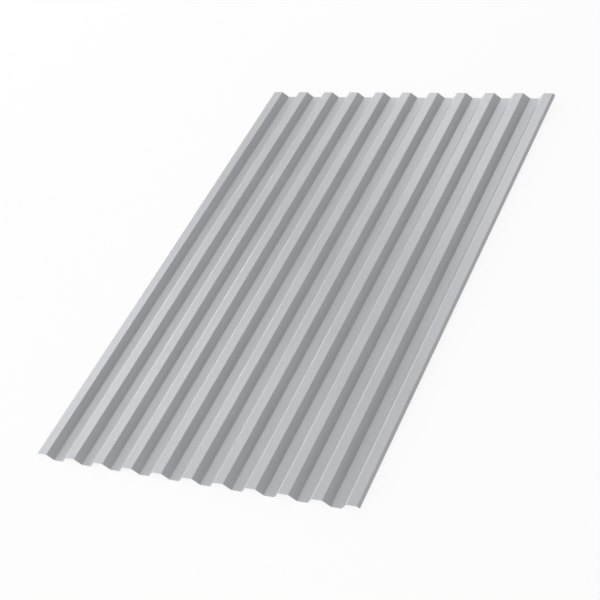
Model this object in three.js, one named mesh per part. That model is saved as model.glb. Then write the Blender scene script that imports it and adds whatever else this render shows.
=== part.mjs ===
// Trapezoidal corrugated sheet: one strip of coated steel, 0.5 mm thick, roll-formed into eleven
// flat-topped ribs with flat pans between them, and sheared square to its length.
//
// Millimetres, +Z up. The sheet lies flat on its ten pans with its ribs upward. X runs across the
// ribs and Y along them. The origin is under the middle of the sheet, at the underside of the pans.

import * as THREE from 'three';

// Driving dimensions. Flats are measured from fold to fold along the middle of the strip.
const SHEET_LENGTH = 1657;
const STRIP_THICKNESS = 0.5;
const RIB_COUNT = 11;
const RIB_PITCH = 100;
const RIB_HEIGHT = 21;
const CREST_FLAT = 31.5;
const PAN_FLAT = 31;
const EDGE_LEG_DROP = 7;
const INSIDE_BEND_RADIUS = 2.5;

// A bend of curveSegments 3 is drawn with six chords.
const BEND_CURVE_SEGMENTS = 3;

// Both webs of a rib share what the two flats leave of the pitch, so they slope alike.
const WEB_RUN = (RIB_PITCH - CREST_FLAT - PAN_FLAT) / 2;
const EDGE_LEG_RUN = WEB_RUN * (EDGE_LEG_DROP / RIB_HEIGHT);

// Folds of the strip's middle line from left to right, as sharp corners. Each long edge ends in a
// short leg that starts down the same slope as a web, where the next sheet's edge rib laps it.
function profileFolds() {
  const panLevel = STRIP_THICKNESS / 2;
  const crestLevel = panLevel + RIB_HEIGHT;
  const firstCrestLeft = -((RIB_COUNT - 1) * RIB_PITCH + CREST_FLAT) / 2;
  const folds = [];
  folds.push(new THREE.Vector2(firstCrestLeft - EDGE_LEG_RUN, crestLevel - EDGE_LEG_DROP));
  for (let rib = 0; rib < RIB_COUNT; rib += 1) {
    const crestLeft = firstCrestLeft + rib * RIB_PITCH;
    const crestRight = crestLeft + CREST_FLAT;
    folds.push(new THREE.Vector2(crestLeft, crestLevel));
    folds.push(new THREE.Vector2(crestRight, crestLevel));
    if (rib < RIB_COUNT - 1) {
      folds.push(new THREE.Vector2(crestRight + WEB_RUN, panLevel));
      folds.push(new THREE.Vector2(crestRight + WEB_RUN + PAN_FLAT, panLevel));
    } else {
      folds.push(new THREE.Vector2(crestRight + EDGE_LEG_RUN, crestLevel - EDGE_LEG_DROP));
    }
  }
  return folds;
}

function leftNormal(from, to) {
  const along = to.clone().sub(from).normalize();
  return new THREE.Vector2(-along.y, along.x);
}

// Draws one face of the strip on the path: the middle line moved by half the thickness to its left,
// with every fold rounded. The bend's centre lies on its inner side, at the same place for both
// faces, so the strip keeps its thickness round the bend.
function drawFace(path, folds) {
  const half = STRIP_THICKNESS / 2;
  const middleRadius = INSIDE_BEND_RADIUS + half;
  const last = folds.length - 1;
  const startNormal = leftNormal(folds[0], folds[1]);
  const start = folds[0].clone().addScaledVector(startNormal, half);
  path.lineTo(start.x, start.y);
  for (let i = 1; i < last; i += 1) {
    const before = leftNormal(folds[i - 1], folds[i]);
    const after = leftNormal(folds[i], folds[i + 1]);
    const turnsLeft = before.cross(after) > 0;
    const side = turnsLeft ? 1 : -1;
    const bisector = before.clone().add(after).normalize();
    const centreDistance = middleRadius / bisector.dot(before);
    const centre = folds[i].clone().addScaledVector(bisector, side * centreDistance);
    const radius = middleRadius - side * half;
    const startAngle = before.clone().multiplyScalar(-side).angle();
    const endAngle = after.clone().multiplyScalar(-side).angle();
    path.absarc(centre.x, centre.y, radius, startAngle, endAngle, !turnsLeft);
  }
  const endNormal = leftNormal(folds[last - 1], folds[last]);
  const end = folds[last].clone().addScaledVector(endNormal, half);
  path.lineTo(end.x, end.y);
}

// The outline starts half way down the left sheared edge. The upper face runs left to right, and the
// lower face runs back. Each edge leg is cut square to its slope.
function stripSection() {
  const section = new THREE.Shape();
  const folds = profileFolds();
  section.moveTo(folds[0].x, folds[0].y);
  drawFace(section, folds);
  drawFace(section, folds.slice().reverse());
  section.closePath();
  return section;
}

const coatedSteel = new THREE.MeshStandardMaterial({
  name: 'light_grey_coated_steel',
  color: '#c9cbce',
  roughness: 0.45,
  metalness: 0.0,
});

const sheetGeometry = new THREE.ExtrudeGeometry(stripSection(), {
  depth: SHEET_LENGTH,
  steps: 1,
  curveSegments: BEND_CURVE_SEGMENTS,
  bevelEnabled: false,
});

// The section is drawn in X and Y and extruded along Z, then turned upright with its length on Y.
const profiledSheet = new THREE.Mesh(sheetGeometry, coatedSteel);
profiledSheet.name = 'profiled_sheet';
profiledSheet.rotation.x = Math.PI / 2;
profiledSheet.position.y = SHEET_LENGTH / 2;

const sheet = new THREE.Group();
sheet.add(profiledSheet);

export default sheet;
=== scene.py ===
import math

import bpy
import numpy as np
from mathutils import Matrix, Vector


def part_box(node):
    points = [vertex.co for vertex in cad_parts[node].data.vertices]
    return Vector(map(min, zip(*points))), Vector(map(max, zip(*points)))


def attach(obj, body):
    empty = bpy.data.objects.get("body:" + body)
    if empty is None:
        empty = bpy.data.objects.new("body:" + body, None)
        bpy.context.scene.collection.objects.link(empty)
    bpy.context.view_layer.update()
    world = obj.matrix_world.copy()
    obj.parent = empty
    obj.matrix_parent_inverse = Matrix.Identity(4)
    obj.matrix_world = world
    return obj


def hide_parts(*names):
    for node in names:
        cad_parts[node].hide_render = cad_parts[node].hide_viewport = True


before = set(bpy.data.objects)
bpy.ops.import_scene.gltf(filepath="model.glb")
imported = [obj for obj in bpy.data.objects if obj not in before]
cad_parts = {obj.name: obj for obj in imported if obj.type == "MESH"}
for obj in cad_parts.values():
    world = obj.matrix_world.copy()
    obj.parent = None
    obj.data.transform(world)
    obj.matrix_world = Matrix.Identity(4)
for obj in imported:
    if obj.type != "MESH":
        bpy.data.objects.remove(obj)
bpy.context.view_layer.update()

# ---------------------------------------------------------------------------------------------
# Camera. A long lens stands off the near right corner of the sheet and looks down on it, rolled
# so that the ribs climb the picture from the lower left to the upper right.

CAMERA_PLACE = Vector((2.1431, -2.6226, 2.7331))
CAMERA_AIM = Vector((0.0218, -0.1305, 0.0))
CAMERA_ROLL = math.radians(23.598)
CAMERA_LENS_MM = 86.37
CAMERA_SENSOR_MM = 36.0

lens = bpy.data.cameras.new("camera")
lens.lens = CAMERA_LENS_MM
lens.sensor_width = CAMERA_SENSOR_MM
camera = bpy.data.objects.new("camera", lens)
bpy.context.scene.collection.objects.link(camera)
level_look = (CAMERA_AIM - CAMERA_PLACE).to_track_quat("-Z", "Y").to_matrix().to_4x4()
roll = Matrix.Rotation(-CAMERA_ROLL, 4, "Z")
camera.matrix_world = Matrix.Translation(CAMERA_PLACE) @ level_look @ roll
bpy.context.scene.camera = camera

# ---------------------------------------------------------------------------------------------
# Profiled sheet. One strip of hot-dip zinc coated steel, coil-coated silver grey on its face and
# pale on its back, drawn through forming rolls into flat-topped ribs with flat pans between, and
# then sheared to length, so both ends and both long edges show bare cut steel.

# Sizes in metres. The flats are measured from fold to fold along the middle of the strip.
STRIP_THICKNESS = 0.0005
RIB_COUNT = 11
RIB_PITCH = 0.100
CREST_FLAT = 0.0315
PAN_FLAT = 0.031
EDGE_LEG_DROP = 0.007
INSIDE_BEND_RADIUS = 0.0025

# Steps of the mesh across each flat, web or bend, and along the sheet. An edge is sharp where its
# faces turn by more than this angle.
STATIONS_PER_STRETCH = 8
ROWS_ALONG = 48
SHARP_EDGE = math.radians(30)

# Oil canning is the slight bowing of flats in thin strip. These are its depth, the lengths of its
# waves along the sheet, and the seed that sets where each wave starts.
OIL_CANNING_HEIGHT = 0.00012
OIL_CANNING_WAVES = np.array([1.10, 0.47, 0.21])
OIL_CANNING_SEED = 7

sheet_low, sheet_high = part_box("profiled_sheet")
rib_height = sheet_high.z - sheet_low.z - STRIP_THICKNESS


def hump(share):
    """A parabola over one stretch of the strip: nought at both ends, and one half way along it."""
    return 4 * share * (1 - share)


def strip_line():
    """Middle line of the strip, from its left edge to its right, as stations along its length.

    The strip's slope is level on a crest or a pan and plus or minus the web angle on a web. It is
    constant along each straight and changes evenly along each bend between two straights. On a
    straight the stations crowd towards its ends, by the smooth step 3t^2 - 2t^3. The place of a
    station is the running sum of the steps before it, each one the chord of its arc: the arc times
    the sine of half its turn over half its turn.
    Returns x, z and slope for each station, its share of the way along its stretch (0 to 1), and
    the number of that stretch: even ones are straight, odd ones are bends.
    """
    web_run = (RIB_PITCH - CREST_FLAT - PAN_FLAT) / 2
    web_angle = math.atan2(rib_height, web_run)
    web_span = rib_height / math.sin(web_angle)
    leg_span = EDGE_LEG_DROP / math.sin(web_angle)
    radius = INSIDE_BEND_RADIUS + STRIP_THICKNESS / 2
    tangent = radius * math.tan(web_angle / 2)
    rib_slopes = np.array([0.0, -web_angle, 0.0, web_angle])
    rib_spans = np.array([CREST_FLAT, web_span, PAN_FLAT, web_span])
    slopes = np.concatenate([[web_angle], np.tile(rib_slopes, RIB_COUNT - 1), [0.0, -web_angle]])
    spans = np.concatenate([[leg_span], np.tile(rib_spans, RIB_COUNT - 1), [CREST_FLAT, leg_span]])
    straights = spans - 2 * tangent
    straights[[0, -1]] += tangent
    lengths = np.full(2 * len(spans) - 1, radius * web_angle)
    lengths[0::2] = straights
    first_slope = np.repeat(slopes, 2)[:-1]
    last_slope = np.repeat(slopes, 2)[1:]
    even = np.linspace(0, 1, STATIONS_PER_STRETCH + 1)
    eased = even * even * (3 - 2 * even)
    stretch = np.arange(len(lengths))
    share = np.where(stretch[:, None] % 2 == 0, eased, even)
    slope = first_slope[:, None] + (last_slope - first_slope)[:, None] * share
    turn = np.diff(slope, axis=1)
    chord = lengths[:, None] * np.diff(share, axis=1) * np.sinc(turn / (2 * np.pi))
    heading = (slope[:, 1:] + slope[:, :-1]) / 2
    x = np.concatenate([[0.0], np.cumsum(chord * np.cos(heading))])
    z = np.concatenate([[0.0], np.cumsum(chord * np.sin(heading))])
    x -= (x[0] + x[-1]) / 2
    z += STRIP_THICKNESS / 2 - z.min()
    slope = np.concatenate([slope[:, :-1].ravel(), slope[-1:, -1]])
    share = np.concatenate([share[:, :-1].ravel(), [1.0]])
    stretch = np.append(np.repeat(stretch, STATIONS_PER_STRETCH), stretch[-1])
    return x, z, slope, share, stretch


def sheet_ring(x, z, slope, share, stretch, y):
    """Both faces of the sheet as one closed ring of stations at each row along its length.

    A point of the upper face is the middle line plus half the thickness along its normal, and a
    point of the lower face is the middle line minus the same. On each flat the strip also bows
    inwards by the oil canning height times a parabola across the flat times the sum of slow waves
    along the sheet, which is brought to between nought and one. The ring runs left to right over
    the upper face and back under the lower one.
    """
    chance = np.random.default_rng(OIL_CANNING_SEED)
    phases = chance.uniform(0, 2 * np.pi, (len(OIL_CANNING_WAVES), stretch.max() + 1))
    waves = sum(
        np.sin(2 * np.pi * y[:, None] / wave_length + phase[stretch][None, :])
        for wave_length, phase in zip(OIL_CANNING_WAVES, phases)
    )
    wave_share = 0.5 + waves / (2 * len(OIL_CANNING_WAVES))
    across = np.where(stretch % 2 == 0, hump(share), 0.0)
    inward = np.where(z > rib_height / 2, -1.0, 1.0)
    bow = OIL_CANNING_HEIGHT * across * inward * wave_share
    rows = np.broadcast_to(y[:, None], bow.shape)
    half = STRIP_THICKNESS / 2
    sides = [
        np.stack([x - offset * np.sin(slope), rows, z + offset * np.cos(slope)], -1)
        for offset in (bow + half, bow - half)
    ]
    return np.concatenate([sides[0], sides[1][:, ::-1]], axis=1)


x, z, slope, share, stretch = strip_line()
y = np.linspace(sheet_low.y, sheet_high.y, ROWS_ALONG + 1)
ring = sheet_ring(x, z, slope, share, stretch, y)
rows, around = ring.shape[:2]
stations = around // 2
number = np.arange(rows * around).reshape(rows, around)
following = np.roll(number, -1, axis=1)
walls = np.stack([number[:-1], following[:-1], following[1:], number[1:]], -1).reshape(-1, 4)
over = number[:, :stations]
under = number[:, ::-1][:, :stations]
near_end = np.stack([over[0, :-1], under[0, :-1], under[0, 1:], over[0, 1:]], -1)
far_end = np.stack([over[-1, :-1], over[-1, 1:], under[-1, 1:], under[-1, :-1]], -1)
faces = np.concatenate([walls, near_end, far_end])

# The face, the back and the cut edges are three finishes of the one strip. The two walls that
# cross from one face to the other, at the long edges, are cut edges, and so are both ends.
FACE_SLOT, BACK_SLOT, CUT_SLOT = 0, 1, 2
wall_column = np.tile(np.arange(around), rows - 1)
crosses = (wall_column == stations - 1) | (wall_column == around - 1)
wall_slot = np.where(crosses, CUT_SLOT, np.where(wall_column < stations, FACE_SLOT, BACK_SLOT))
slot = np.concatenate([wall_slot, np.full(len(near_end) + len(far_end), CUT_SLOT)])

# The map lays the strip out flat, in metres: across its developed width, then along its length.
# On a cut edge it runs along the edge, then down through the thickness.
developed = np.concatenate([[0.0], np.cumsum(np.hypot(np.diff(x), np.diff(z)))])
corner_row, corner_column = np.divmod(faces.ravel(), around)
corner_across = np.concatenate([developed, developed[::-1]])[corner_column]
corner_along = (y - y[0])[corner_row]
corner_depth = np.where(corner_column < stations, 0.0, STRIP_THICKNESS)
corner_face = np.repeat(np.arange(len(faces)), 4)
at_edge = (slot[corner_face] == CUT_SLOT) & (corner_face < len(walls))
at_end = corner_face >= len(walls)
flat_map = np.stack(
    [
        np.where(at_edge, corner_along, corner_across),
        np.where(at_edge | at_end, corner_depth, corner_along),
    ],
    -1,
)

mesh = bpy.data.meshes.new("profiled_sheet_skin")
mesh.from_pydata(ring.reshape(-1, 3), [], faces.tolist())
mesh.polygons.foreach_set("use_smooth", np.ones(len(faces), bool))
mesh.polygons.foreach_set("material_index", slot.astype(np.int32))
strip_layer = mesh.uv_layers.new(name="strip_metres")
strip_layer.uv.foreach_set("vector", flat_map.astype(np.float32).ravel())
# How far into a bend each station is, nought to one. It sets where the coat colour turns paler on
# the bends, which is partly thinned film and partly a painted highlight along the folds.
bend_and_highlight_mask = np.where(stretch % 2 == 1, hump(share), 0.0)
bend_and_highlight_ring = np.broadcast_to(np.concatenate([bend_and_highlight_mask, bend_and_highlight_mask[::-1]]), (rows, around))
stretch_and_highlight_attribute = mesh.attributes.new("bend_stretch_and_fold_highlight", "FLOAT", "POINT")
stretch_and_highlight_attribute.data.foreach_set("value", bend_and_highlight_ring.astype(np.float32).ravel())
mesh.set_sharp_from_angle(angle=SHARP_EDGE)
mesh.update()
sheet = bpy.data.objects.new("profiled_sheet_skin", mesh)
bpy.context.scene.collection.objects.link(sheet)


def linear_colour(hex_text):
    """Linear red, green, blue and alpha of an sRGB hex colour, by the standard sRGB curve."""
    channels = np.array([int(hex_text[i : i + 2], 16) / 255 for i in (0, 2, 4)])
    low = channels / 12.92
    high = ((channels + 0.055) / 1.055) ** 2.4
    return (*np.where(channels <= 0.04045, low, high).tolist(), 1.0)


def add_node(tree, kind, settings, sockets):
    """Adds a node with its settings by name, and its sockets by name or number.

    A socket takes a plain value, or another node's output, which is then linked to it.
    """
    node = tree.nodes.new(kind)
    for name, value in settings.items():
        setattr(node, name, value)
    for name, value in sockets.items():
        if isinstance(value, bpy.types.NodeSocket):
            tree.links.new(value, node.inputs[name])
        else:
            node.inputs[name].default_value = value
    return node


def new_material(name):
    """An empty node material, and its tree."""
    material = bpy.data.materials.new(name)
    material.use_nodes = True
    material.node_tree.nodes.clear()
    return material, material.node_tree


# A Mix node set to colour takes its two colours at these sockets and gives the result at this one.
FIRST_COLOUR, SECOND_COLOUR, MIXED_COLOUR = 6, 7, 2

# Aluminium-flake polyester, roller-coated on the coil and baked. The flakes lie flat in a thin
# grey film, so it looks halfway between paint and metal: a broad soft sheen, faint roller streaks
# along the strip and a slight cloudiness. Where it was bent the film thins and pales, and that
# paler colour on the bends is also a painted highlight: a light line along every fold.
TOPCOAT_DARK = "c7c9cd"
TOPCOAT_LIGHT = "cbcdd1"
TOPCOAT_BENT_AND_FOLD_HIGHLIGHT = "d6d8db"
TOPCOAT_METAL = 0.5
TOPCOAT_ROUGHNESS = (0.38, 0.42)
BENT_PALENESS_AND_FOLD_HIGHLIGHT = 0.5
STREAK_WIDTH = 0.005
STREAK_LENGTH = 0.8
CLOUD_SIZE = 0.16
# Streaks and clouds are added up. Colour and roughness are spread over this range of their sum.
TONE_LOW, TONE_HIGH = 0.7, 1.3
# The real orange peel waves about every 1.5 mm. It is drawn coarser, so that it shows.
ORANGE_PEEL_WAVE = 0.004
ORANGE_PEEL_DEPTH = 0.000012


def roller_streaks(tree, strip_map):
    """What coating rollers leave: a noise that is narrow across the strip and long along it."""
    place = add_node(
        tree,
        "ShaderNodeMapping",
        {},
        {"Vector": strip_map, "Scale": (1 / STREAK_WIDTH, 1 / STREAK_LENGTH, 1.0)},
    )
    noise = add_node(
        tree,
        "ShaderNodeTexNoise",
        {"noise_dimensions": "2D"},
        {"Vector": place.outputs[0], "Scale": 1.0, "Detail": 3.0, "Roughness": 0.6},
    )
    return noise.outputs[0]


topcoat, tree = new_material("aluminium_flake_polyester_topcoat")
strip_map = add_node(tree, "ShaderNodeUVMap", {"uv_map": "strip_metres"}, {}).outputs["UV"]
streaks = roller_streaks(tree, strip_map)
clouds = add_node(
    tree,
    "ShaderNodeTexNoise",
    {"noise_dimensions": "2D"},
    {"Vector": strip_map, "Scale": 1 / CLOUD_SIZE, "Detail": 3.0, "Roughness": 0.5},
)
tone = add_node(tree, "ShaderNodeMath", {"operation": "ADD"}, {0: streaks, 1: clouds.outputs[0]})
tone_share = add_node(
    tree,
    "ShaderNodeMapRange",
    {},
    {"Value": tone.outputs[0], "From Min": TONE_LOW, "From Max": TONE_HIGH},
)
flat_colour = add_node(
    tree,
    "ShaderNodeMix",
    {"data_type": "RGBA"},
    {
        "Factor": tone_share.outputs[0],
        FIRST_COLOUR: linear_colour(TOPCOAT_DARK),
        SECOND_COLOUR: linear_colour(TOPCOAT_LIGHT),
    },
)
# The paler colour on the bends is partly thinned film and partly a painted highlight along the
# folds.
bend_and_highlight_amount = add_node(tree, "ShaderNodeAttribute", {"attribute_name": "bend_stretch_and_fold_highlight"}, {})
bend_paleness_and_highlight_share = add_node(
    tree,
    "ShaderNodeMath",
    {"operation": "MULTIPLY"},
    {0: bend_and_highlight_amount.outputs["Fac"], 1: BENT_PALENESS_AND_FOLD_HIGHLIGHT},
)
coat_colour = add_node(
    tree,
    "ShaderNodeMix",
    {"data_type": "RGBA"},
    {
        "Factor": bend_paleness_and_highlight_share.outputs[0],
        FIRST_COLOUR: flat_colour.outputs[MIXED_COLOUR],
        SECOND_COLOUR: linear_colour(TOPCOAT_BENT_AND_FOLD_HIGHLIGHT),
    },
)
coat_roughness = add_node(
    tree,
    "ShaderNodeMapRange",
    {},
    {
        "Value": tone.outputs[0],
        "From Min": TONE_LOW,
        "From Max": TONE_HIGH,
        "To Min": TOPCOAT_ROUGHNESS[0],
        "To Max": TOPCOAT_ROUGHNESS[1],
    },
)
peel = add_node(
    tree,
    "ShaderNodeTexNoise",
    {"noise_dimensions": "2D"},
    {"Vector": strip_map, "Scale": 1 / ORANGE_PEEL_WAVE, "Detail": 1.0},
)
peel_bump = add_node(
    tree,
    "ShaderNodeBump",
    {},
    {"Height": peel.outputs[0], "Strength": 1.0, "Distance": ORANGE_PEEL_DEPTH},
)
shader = add_node(
    tree,
    "ShaderNodeBsdfPrincipled",
    {},
    {
        "Base Color": coat_colour.outputs[MIXED_COLOUR],
        "Metallic": TOPCOAT_METAL,
        "Roughness": coat_roughness.outputs[0],
        "Normal": peel_bump.outputs[0],
    },
)
add_node(tree, "ShaderNodeOutputMaterial", {}, {"Surface": shader.outputs[0]})

# Epoxy back coat, a thin pale primer rolled on the coil's back and baked. It is matt, with an
# uneven roller texture and no metal in it.
BACK_DARK = "b3b4b1"
BACK_LIGHT = "bfc0bd"
BACK_ROUGHNESS = (0.5, 0.62)
BACK_COAT_WAVE = 0.006
BACK_COAT_DEPTH = 0.00002
# Roughness is spread over this range of the grain's noise.
GRAIN_LOW, GRAIN_HIGH = 0.3, 0.7

back_coat, tree = new_material("epoxy_back_coat")
strip_map = add_node(tree, "ShaderNodeUVMap", {"uv_map": "strip_metres"}, {}).outputs["UV"]
back_colour = add_node(
    tree,
    "ShaderNodeMix",
    {"data_type": "RGBA"},
    {
        "Factor": roller_streaks(tree, strip_map),
        FIRST_COLOUR: linear_colour(BACK_DARK),
        SECOND_COLOUR: linear_colour(BACK_LIGHT),
    },
)
grain = add_node(
    tree,
    "ShaderNodeTexNoise",
    {"noise_dimensions": "2D"},
    {"Vector": strip_map, "Scale": 1 / BACK_COAT_WAVE, "Detail": 3.0},
)
back_roughness = add_node(
    tree,
    "ShaderNodeMapRange",
    {},
    {
        "Value": grain.outputs[0],
        "From Min": GRAIN_LOW,
        "From Max": GRAIN_HIGH,
        "To Min": BACK_ROUGHNESS[0],
        "To Max": BACK_ROUGHNESS[1],
    },
)
back_bump = add_node(
    tree,
    "ShaderNodeBump",
    {},
    {"Height": grain.outputs[0], "Strength": 1.0, "Distance": BACK_COAT_DEPTH},
)
shader = add_node(
    tree,
    "ShaderNodeBsdfPrincipled",
    {},
    {
        "Base Color": back_colour.outputs[MIXED_COLOUR],
        "Roughness": back_roughness.outputs[0],
        "Normal": back_bump.outputs[0],
    },
)
add_node(tree, "ShaderNodeOutputMaterial", {}, {"Surface": shader.outputs[0]})

# Sheared steel. The blade burnishes the upper third of the thickness smooth and bright, and the
# rest breaks off as a duller grain, scratched along the blade's stroke.
BURNISHED_STEEL = "a9abad"
BROKEN_STEEL = "86888b"
CUT_ROUGHNESS = (0.35, 0.7)
# Shares of the thickness: how deep the burnish goes, and how far it fades above and below that.
BURNISHED_SHARE = 0.35
BURNISH_FADE = 0.08
SCRATCH_WIDTH = 0.0006
SCRATCH_LENGTH = 2 * STRIP_THICKNESS

cut_steel, tree = new_material("sheared_zinc_coated_steel")
edge_map = add_node(tree, "ShaderNodeUVMap", {"uv_map": "strip_metres"}, {}).outputs["UV"]
scratch_place = add_node(
    tree,
    "ShaderNodeMapping",
    {},
    {"Vector": edge_map, "Scale": (1 / SCRATCH_WIDTH, 1 / SCRATCH_LENGTH, 1.0)},
)
scratches = add_node(
    tree,
    "ShaderNodeTexNoise",
    {"noise_dimensions": "2D"},
    {"Vector": scratch_place.outputs[0], "Scale": 1.0, "Detail": 2.0},
)
depth = add_node(tree, "ShaderNodeSeparateXYZ", {}, {0: edge_map}).outputs["Y"]
broken = add_node(
    tree,
    "ShaderNodeMapRange",
    {},
    {
        "Value": depth,
        "From Min": (BURNISHED_SHARE - BURNISH_FADE) * STRIP_THICKNESS,
        "From Max": (BURNISHED_SHARE + BURNISH_FADE) * STRIP_THICKNESS,
    },
)
broken_share = add_node(
    tree,
    "ShaderNodeMath",
    {"operation": "MULTIPLY"},
    {0: broken.outputs[0], 1: scratches.outputs[0]},
)
cut_colour = add_node(
    tree,
    "ShaderNodeMix",
    {"data_type": "RGBA"},
    {
        "Factor": broken_share.outputs[0],
        FIRST_COLOUR: linear_colour(BURNISHED_STEEL),
        SECOND_COLOUR: linear_colour(BROKEN_STEEL),
    },
)
cut_roughness = add_node(
    tree,
    "ShaderNodeMapRange",
    {},
    {
        "Value": broken_share.outputs[0],
        "To Min": CUT_ROUGHNESS[0],
        "To Max": CUT_ROUGHNESS[1],
    },
)
shader = add_node(
    tree,
    "ShaderNodeBsdfPrincipled",
    {},
    {
        "Base Color": cut_colour.outputs[MIXED_COLOUR],
        "Metallic": 1.0,
        "Roughness": cut_roughness.outputs[0],
    },
)
add_node(tree, "ShaderNodeOutputMaterial", {}, {"Surface": shader.outputs[0]})

for finish in (topcoat, back_coat, cut_steel):
    mesh.materials.append(finish)
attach(sheet, "root")
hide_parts("profiled_sheet")

# ---------------------------------------------------------------------------------------------
# Floor. A plain white studio floor. To the camera and in reflections it glows part white, so it
# reads as a white background and still keeps a light shadow under the sheet.

FLOOR_SIDE = 120.0
FLOOR_WHITE = "ffffff"
FLOOR_GLOW = 0.9

floor_mesh = bpy.data.meshes.new("floor")
corners = np.array([[-1, -1, 0], [1, -1, 0], [1, 1, 0], [-1, 1, 0]]) * FLOOR_SIDE / 2
floor_mesh.from_pydata(corners, [], [(0, 1, 2, 3)])
floor = bpy.data.objects.new("floor", floor_mesh)
bpy.context.scene.collection.objects.link(floor)

white_floor, tree = new_material("white_studio_floor")
ray = add_node(tree, "ShaderNodeLightPath", {}, {})
seen = add_node(
    tree,
    "ShaderNodeMath",
    {"operation": "MAXIMUM"},
    {0: ray.outputs["Is Camera Ray"], 1: ray.outputs["Is Glossy Ray"]},
)
seen_or_through = add_node(
    tree,
    "ShaderNodeMath",
    {"operation": "MAXIMUM"},
    {0: seen.outputs[0], 1: ray.outputs["Is Transmission Ray"]},
)
glow_share = add_node(
    tree,
    "ShaderNodeMath",
    {"operation": "MULTIPLY"},
    {0: seen_or_through.outputs[0], 1: FLOOR_GLOW},
)
matt = add_node(tree, "ShaderNodeBsdfDiffuse", {}, {"Color": linear_colour(FLOOR_WHITE)})
glow = add_node(tree, "ShaderNodeEmission", {}, {"Color": (1, 1, 1, 1), "Strength": 1.0})
mixed = add_node(
    tree,
    "ShaderNodeMixShader",
    {},
    {0: glow_share.outputs[0], 1: matt.outputs[0], 2: glow.outputs[0]},
)
add_node(tree, "ShaderNodeOutputMaterial", {}, {"Surface": mixed.outputs[0]})
floor_mesh.materials.append(white_floor)

# ---------------------------------------------------------------------------------------------
# Studio light. A dim grey dome with a white band along the horizon, which is also the backdrop,
# upright strip softboxes around the sheet, which draw its folds, and weaker round ones, which give
# the flats their slow sheen.

DOME_STRENGTH = 0.299
BAND_STRENGTH = 1.0
BAND_TOP = math.radians(8)
DOME_FOOT = math.radians(20)

world = bpy.data.worlds.new("studio")
bpy.context.scene.world = world
world.use_nodes = True
tree = world.node_tree
tree.nodes.clear()
direction = add_node(tree, "ShaderNodeTexCoord", {}, {}).outputs["Generated"]
height = add_node(tree, "ShaderNodeSeparateXYZ", {}, {0: direction}).outputs["Z"]
strength = add_node(
    tree,
    "ShaderNodeMapRange",
    {"interpolation_type": "SMOOTHSTEP"},
    {
        "Value": height,
        "From Min": math.sin(BAND_TOP),
        "From Max": math.sin(DOME_FOOT),
        "To Min": BAND_STRENGTH,
        "To Max": DOME_STRENGTH,
    },
)
sky = add_node(
    tree, "ShaderNodeBackground", {}, {"Color": (1, 1, 1, 1), "Strength": strength.outputs[0]}
)
add_node(tree, "ShaderNodeOutputWorld", {}, {"Surface": sky.outputs[0]})


def add_softbox(name, shape, middle, facing, width, height, power):
    """A softbox of one shape, with its middle at a place, turned to face along a direction."""
    panel = bpy.data.lights.new(name, "AREA")
    panel.shape = shape
    panel.size = width
    panel.size_y = height
    panel.energy = power
    softbox = bpy.data.objects.new(name, panel)
    softbox.location = middle
    softbox.rotation_euler = Vector(facing).to_track_quat("-Z", "Y").to_euler()
    bpy.context.scene.collection.objects.link(softbox)


# Strip softboxes stand upright around the sheet. Name, middle and the way it faces, then width
# and height in metres, and power in watts.
STRIP_SOFTBOXES = [
    ("left_near_strip", (-4.0, -3.3, 1.5), (1, 0, 0), 3.4, 1.0, 55.2),
    ("left_middle_strip", (-4.0, 0.0, 1.5), (1, 0, 0), 3.2, 1.0, 24.6),
    ("left_far_strip", (-4.0, 2.3, 1.0), (1, 0, 0), 1.4, 2.0, 44.1),
    ("left_far_high_strip", (-4.0, 3.3, 4.0), (1, 0, 0), 3.4, 1.6, 20.8),
    ("front_strip", (0.0, -4.5, 0.5), (0, 1, 0), 8.0, 1.0, 74.1),
    ("back_strip", (-2.0, 5.0, 0.5), (0, -1, 0), 4.0, 1.0, 16.2),
]
for name, middle, facing, width, height, power in STRIP_SOFTBOXES:
    add_softbox(name, "RECTANGLE", middle, facing, width, height, power)

# Round softboxes hang around the sheet and face its middle. Name, compass turn from the near side
# towards the right and height above the floor in degrees, distance and diameter in metres, and
# power in watts.
ROUND_SOFTBOXES = [
    ("front_top_softbox", 0, 65, 3.5, 2.0, 21.4),
    ("back_top_softbox", 180, 65, 3.5, 2.0, 8.5),
    ("back_left_softbox", 205, 18, 6.0, 3.0, 26.0),
    ("far_sheen_softbox", 195, 36, 3.5, 1.2, 3.9),
    ("near_sheen_softbox", 235, 52, 3.5, 1.2, 3.0),
    ("left_sheen_softbox", 255, 38, 5.0, 1.5, 7.4),
]
for name, turn, lift, distance, diameter, power in ROUND_SOFTBOXES:
    turn, lift = math.radians(turn), math.radians(lift)
    away = Vector((math.sin(turn), -math.cos(turn), 0.0)) * math.cos(lift)
    away.z = math.sin(lift)
    add_softbox(name, "DISK", away * distance, -away, diameter, diameter, power)

bpy.context.scene.view_settings.view_transform = "Standard"
